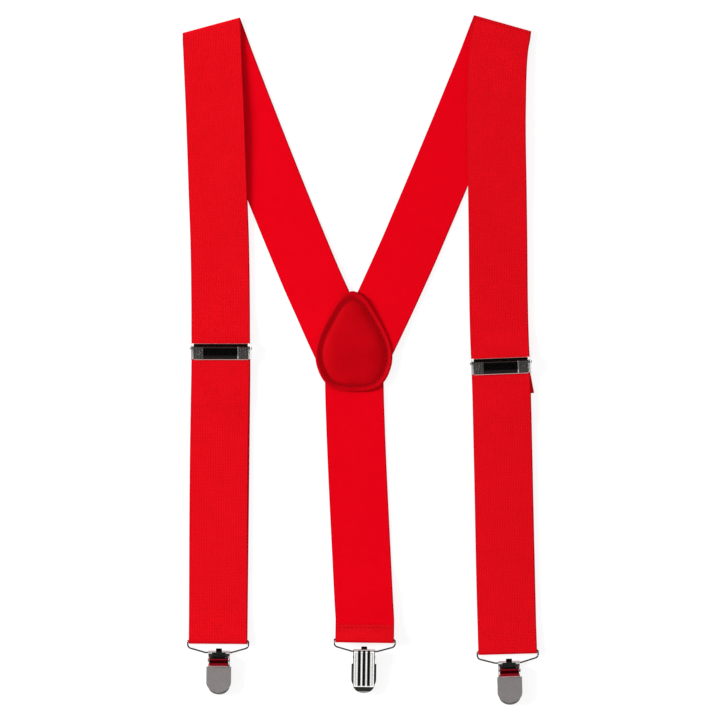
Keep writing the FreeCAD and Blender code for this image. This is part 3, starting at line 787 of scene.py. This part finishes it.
# ------------------------------------------------------------------ metal finishes
def clip_frame(side):
    """Matrix to the table from a clip's own axes: x across, y towards the strap, z up from its base plate."""
    x, y, tilt = END_LOOP[side]
    turn = Matrix.Rotation(math.radians(tilt), 4, "Z")
    to_hem = Matrix.Translation(Vector((CLIP_SHIFT[side], HEM_C, -HEM_C)) * MM)
    if side != "centre":
        drop = Matrix.Translation(Vector((0, -BAIL_LEN, 0)) * MM)
        return Matrix.Translation(lay(x, y, LOOP_Z)) @ turn @ drop @ to_hem
    a = math.radians(CENTRE_BAIL_TILT)
    flip = Matrix.Rotation(math.radians(CENTRE_CLIP_TILT), 4, "X") @ Matrix.Rotation(math.pi, 4, "Y")
    drop = Matrix.Translation(Vector((0, -BAIL_LEN * math.cos(a), BAIL_LEN * math.sin(a))) * MM)
    return Matrix.Translation(lay(x, y, LOOP_Z + LIFT)) @ turn @ drop @ flip @ to_hem


def adjuster_frame(side):
    """Matrix to the table from an adjuster's own axes, which lie as the clip's do."""
    x, y, tilt = ADJUSTER[side]
    return Matrix.Translation(lay(x, y, 0)) @ Matrix.Rotation(math.radians(tilt), 4, "Z")


def dress(node, mat):
    obj = NODES[node]
    obj.data.materials.clear()
    obj.data.materials.append(mat)


class Plate(Nodes):
    """Plated metal on one CAD piece, its finish and its painted reflections, highlights and shade changing
    with place in the piece's own axes, in mm.
    """

    def __init__(self, piece, own_axes, colour, rough):
        super().__init__("finish_of_" + piece)
        self.piece = piece
        self.set(Metallic=1.0)
        move = own_axes.inverted() @ NODES[piece].matrix_world
        place, turn, _ = move.decompose()
        mapping = self.node("ShaderNodeMapping")
        mapping.inputs["Location"].default_value = place / MM
        mapping.inputs["Rotation"].default_value = turn.to_euler("XYZ")
        mapping.inputs["Scale"].default_value = (1 / MM,) * 3
        coord = self.node("ShaderNodeTexCoord")
        self.link(coord.outputs["Object"], mapping.inputs["Vector"])
        split = self.node("ShaderNodeSeparateXYZ")
        self.link(mapping.outputs[0], split.inputs[0])
        self.own = mapping.outputs[0]
        self.x, self.y, self.z = split.outputs
        plain = self.node("ShaderNodeRGB")
        plain.outputs[0].default_value = (*colour, 1)
        self.colour = plain.outputs[0]
        self.rough = rough
        self.relief = None

    def step(self, value, low, high):
        """0 at low, 1 at high; low may be the greater."""
        n = self.node("ShaderNodeMapRange", interpolation_type="SMOOTHSTEP")
        n.inputs["From Min"].default_value = min(low, high)
        n.inputs["From Max"].default_value = max(low, high)
        if low > high:
            n.inputs["To Min"].default_value = 1
            n.inputs["To Max"].default_value = 0
        self.link(value, n.inputs["Value"])
        return n.outputs[0]

    def both(self, first, *others):
        """1 where all of these are 1."""
        for other in others:
            first = self.math("MULTIPLY", first, other)
        return first

    def blend(self, mask, colour, rough):
        """Another colour and roughness where mask is 1: used for changes of finish and for painted
        reflections, highlights and shade.
        """
        mix = self.node("ShaderNodeMix", data_type="RGBA")
        self.link(mask, mix.inputs[0])
        self.link(self.colour, mix.inputs[6])
        mix.inputs[7].default_value = (*colour, 1)
        self.colour = mix.outputs[2]
        shift = self.math("MULTIPLY", mask, self.math("SUBTRACT", rough, self.rough))
        self.rough = self.math("ADD", shift, self.rough)

    def finish(self, grain=0.00001, round_edge=0.00022):
        """Puts the finish on the piece, with fine wear and edges broken by a small radius."""
        fine = self.noise(14, 4, 0.6, self.own)
        patches = self.noise(0.9, 3, 0.5, self.own)
        wear = self.node("ShaderNodeMix", data_type="RGBA", blend_type="MULTIPLY")
        wear.inputs[0].default_value = 1
        self.link(self.colour, wear.inputs[6])
        self.link(self.ramp(self.math("MULTIPLY_ADD", fine, 0.5, self.math("MULTIPLY", patches, 0.5)),
                            [(0.3, (0.88, 0.88, 0.88)), (0.7, (1.06, 1.06, 1.06))]), wear.inputs[7])
        self.link(wear.outputs[2], self.bsdf.inputs["Base Color"])
        self.link(self.math("MULTIPLY", self.rough, self.math("MULTIPLY_ADD", patches, 0.3, 0.85)),
                  self.bsdf.inputs["Roughness"])
        bevel = self.node("ShaderNodeBevel", samples=4)
        bevel.inputs["Radius"].default_value = round_edge
        height = fine if self.relief is None else self.math("ADD", fine, self.relief)
        self.link(self.bump(height, grain, 1.0, bevel.outputs[0]), self.bsdf.inputs["Normal"])
        dress(self.piece, self.mat)


FLUTE_PITCH = 2.8          # of the flutes down the back of a clip, each drawn with a painted dark reflection
FLUTES_HALF = 4.6
KNURL_PITCH = 0.9          # of the knurling at the ends of an adjuster's cover
KNURL_START = 10.4


def dress_clip(side):
    own = clip_frame(side)
    m = Plate("clip_base_" + side, own, (0.95, 0.95, 0.94), 0.14)
    wide = m.math("ABSOLUTE", m.x)
    back = m.step(m.z, 0.3, 0.1)
    groove = m.math("COSINE", m.math("MULTIPLY", m.x, 2 * math.pi / FLUTE_PITCH))
    flute_reflections = m.both(m.step(groove, -0.55, 0.05), m.step(wide, FLUTES_HALF, FLUTES_HALF - 0.3))
    # flutes: painted dark reflections
    m.blend(m.both(flute_reflections, back, m.step(m.y, -22.3, -21.7)), (0.02, 0.02, 0.015), 0.2)
    m.blend(m.both(m.step(m.y, -22.1, -22.7), back), (0.022, 0.022, 0.02), 0.2)       # turned-down end: painted dark reflection
    m.blend(m.both(m.step(m.y, -24.9, -25.5), back), (0.42, 0.42, 0.40), 0.35)        # its rim: painted lighter reflection
    m.blend(m.both(m.step(wide, 5.85, 6.0), back), (0.03, 0.03, 0.03), 0.25)          # sides: painted dark reflection
    m.blend(m.both(m.step(m.y, -21.0, -22.0), m.step(m.z, 0.3, 0.5)), (0.34, 0.33, 0.33), 0.5)
    m.finish()

    m = Plate("clip_jaw_" + side, own, (0.435, 0.398, 0.396), 0.42)
    m.blend(m.step(m.y, -9.3, -8.9), (0.10, 0.10, 0.10), 0.2)                         # neck: polished, with a painted dark reflection
    m.blend(m.step(m.y, -0.9, -0.4), (0.008, 0.008, 0.008), 0.3)                      # tail tab
    if side == "centre":
        # painted shade on the part of the turned-over jaw that lies nearest the table
        m.blend(m.step(m.z, 4.4, 4.0), (0.012, 0.012, 0.012), 0.3)
    m.finish(0.00002, 0.0003)

    # the lever's plate is tinted red: a painted reflection of the webbing in its polish
    m = Plate("clip_lever_" + side, own, (0.42, 0.008, 0.02), 0.16)
    m.blend(m.step(m.y, -8.7, -9.0), (0.85, 0.6, 0.6), 0.2)                           # lip: painted highlight
    m.blend(m.step(m.y, -5.0, -4.6), (0.03, 0.015, 0.015), 0.2)                       # behind the pin: painted shade
    m.finish()

    Plate("clip_pin_" + side, own, (0.35, 0.35, 0.35), 0.25).finish()
    Plate("bail_" + side, own, (0.13, 0.13, 0.13), 0.22).finish()
    dress("clip_insert_" + side, INSERT)


def dress_adjuster(side):
    own = adjuster_frame(side)
    m = Plate("adjuster_cover_" + side, own, (0.050, 0.042, 0.042), 0.16)
    m.blend(m.step(m.y, -2.4, -2.6), (0.012, 0.01, 0.01), 0.16)                       # lower slope: painted shade
    ends = m.step(m.math("ABSOLUTE", m.x), KNURL_START, KNURL_START + 0.2)
    rows = m.math("SINE", m.math("MULTIPLY", m.y, 2 * math.pi / KNURL_PITCH))
    cols = m.math("SINE", m.math("MULTIPLY", m.x, 2 * math.pi / KNURL_PITCH))
    grid = m.math("ADD", m.math("MULTIPLY", rows, 0.12), m.math("MULTIPLY_ADD", cols, 0.38, 0.5))
    m.blend(ends, (0.035, 0.032, 0.03), 0.25)
    m.blend(m.both(ends, m.both(grid, grid)), (0.20, 0.195, 0.19), 0.3)
    # painted highlight: a bright band at the inner end of the right-hand knurling
    m.blend(m.both(m.step(m.x, 9.9, 10.0), m.step(m.x, 10.5, 10.4)), (0.7, 0.68, 0.68), 0.3)
    m.blend(m.step(m.y, -4.5, -4.65), (0.85, 0.62, 0.6), 0.25)                        # free edge: painted pink highlight
    m.relief = m.math("MULTIPLY", m.both(m.math("ADD", rows, cols), ends), 5)
    m.finish()

    # the rails are near-white and mostly non-metallic: a painted white reflection
    m = Plate("adjuster_frame_" + side, own, (0.98, 0.98, 0.97), 0.4)
    # top bar: painted dark reflection
    bar = m.both(m.step(m.math("ABSOLUTE", m.x), 16.1, 15.9), m.step(m.y, 2.8, 2.9))
    m.blend(bar, (0.04, 0.034, 0.034), 0.15)
    # painted pink reflection of the webbing on the bar's top edge
    m.blend(m.math("MULTIPLY", m.both(bar, m.step(m.y, 4.45, 4.6)), 0.8), (0.8, 0.55, 0.55), 0.3)
    m.link(m.math("MULTIPLY_ADD", bar, 0.9, 0.1), m.bsdf.inputs["Metallic"])
    m.finish()
    Plate("adjuster_pins_" + side, own, (0.15, 0.15, 0.15), 0.3).finish()


for side in (*SIDES, "centre"):
    dress_clip(side)
for side in SIDES:
    dress_adjuster(side)


# ------------------------------------------------------------------ floor and light
FLOOR_HALF = 3.0
FLOOR_Z = -0.0002
# sky brightness from straight down (0) to straight up (1): dark overhead, so that flat metal isn't washed out
SKY = [(0.0, 0.9), (0.12, 0.9), (0.3, 1.0), (0.85, 1.0), (0.93, 0.7), (0.972, 0.05), (1.0, 0.03)]


def floor():
    """Plain white floor that glows a little, like a light table."""
    corners = [(-1, -1), (1, -1), (1, 1), (-1, 1)]
    obj = make("floor", [(x * FLOOR_HALF, y * FLOOR_HALF, FLOOR_Z) for x, y in corners], [(0, 1, 2, 3)], [])
    m = Nodes("floor_paint")
    m.link(m.ramp(m.noise(30, 3, 0.5), [(0.3, (0.27, 0.27, 0.272)), (0.7, (0.30, 0.30, 0.302))]),
           m.bsdf.inputs["Base Color"])
    m.set(Roughness=0.9, Specular_IOR_Level=0.1, Emission_Color=(1.0, 1.0, 1.0), Emission_Strength=0.80)
    obj.data.materials.append(m.mat)


def sky():
    world = bpy.data.worlds.new("studio")
    bpy.context.scene.world = world
    world.use_nodes = True
    tree = world.node_tree
    back = tree.nodes["Background"]
    coord = tree.nodes.new("ShaderNodeTexCoord")
    split = tree.nodes.new("ShaderNodeSeparateXYZ")
    ramp = tree.nodes.new("ShaderNodeValToRGB")
    tree.links.new(coord.outputs["Generated"], split.inputs[0])
    tree.links.new(split.outputs[2], ramp.inputs[0])
    tree.links.new(ramp.outputs[0], back.inputs[0])
    elements = ramp.color_ramp.elements
    while len(elements) < len(SKY):
        elements.new(0.5)
    for element, (height, value) in zip(elements, SKY):
        element.position = height
        element.color = (value, value, value, 1)
    back.inputs[1].default_value = 0.62


def area_light(name, energy, size, place, aim):
    light = bpy.data.lights.new(name, "AREA")
    light.shape = "RECTANGLE"
    light.size, light.size_y = size
    light.energy = energy
    obj = bpy.data.objects.new(name, light)
    bpy.context.scene.collection.objects.link(obj)
    obj.location = place
    obj.rotation_euler = (Vector(aim) - obj.location).to_track_quat("-Z", "Y").to_euler()


floor()
sky()
area_light("key", 42, (0.35, 0.8), place=(-1.75, 0.25, 0.98), aim=(0.2, 0, 0))
# soft panel on the near side, which shows as the bright bands on tilted plate
area_light("panel", 2.9, (0.9, 0.9), place=(0, -1.05, 2.1), aim=(0, -0.1, 0))
bpy.context.scene.view_settings.view_transform = "Standard"
bpy.context.scene.view_settings.look = "None"
